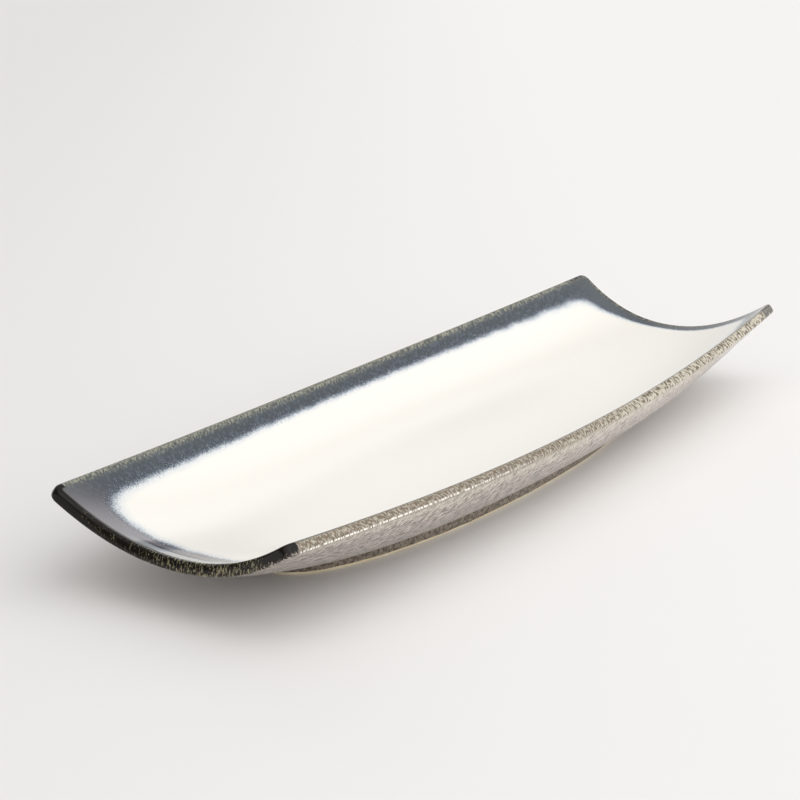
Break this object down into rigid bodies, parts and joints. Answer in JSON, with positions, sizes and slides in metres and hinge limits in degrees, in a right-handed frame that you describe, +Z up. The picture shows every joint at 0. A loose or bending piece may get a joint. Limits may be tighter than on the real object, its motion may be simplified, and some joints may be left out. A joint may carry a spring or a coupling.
{
  "type": "rectangular serving dish",
  "caption": "Long rectangular stoneware serving dish with bowed sides, raised corners and low curved ends, glossy white inside with a dark border, standing on an oval foot ring.",
  "frame": {"origin": "on the table plane, under the middle of the dish", "axes": "+X along the length, +Y across the width, +Z up out of the open side"},
  "size_m": [0.2998, 0.0974, 0.0311],
  "materials": {
    "stoneware": "unglazed cream stoneware",
    "foot_clay": "unglazed cream stoneware, wiped smooth",
    "white_glaze": "glossy warm white",
    "border_glaze": "glossy slate blue, feathered into white",
    "lip_glaze": "glossy brown-black with olive and cream flecks",
    "outer_glaze": "glossy taupe with fine runs and specks",
    "foot_glaze": "glossy dark taupe, specked",
    "well_glaze": "glossy taupe, specked"
  },
  "bodies": {
    "root": {"stoneware_body": "stoneware", "foot_ring": "foot_clay", "white_pool_glaze": "white_glaze", "blue_border_glaze": "border_glaze", "dark_lip_glaze": "lip_glaze", "mottled_outer_glaze": "outer_glaze", "foot_side_glaze": "foot_glaze", "foot_well_glaze": "well_glaze"}
  },
  "joints": []
}
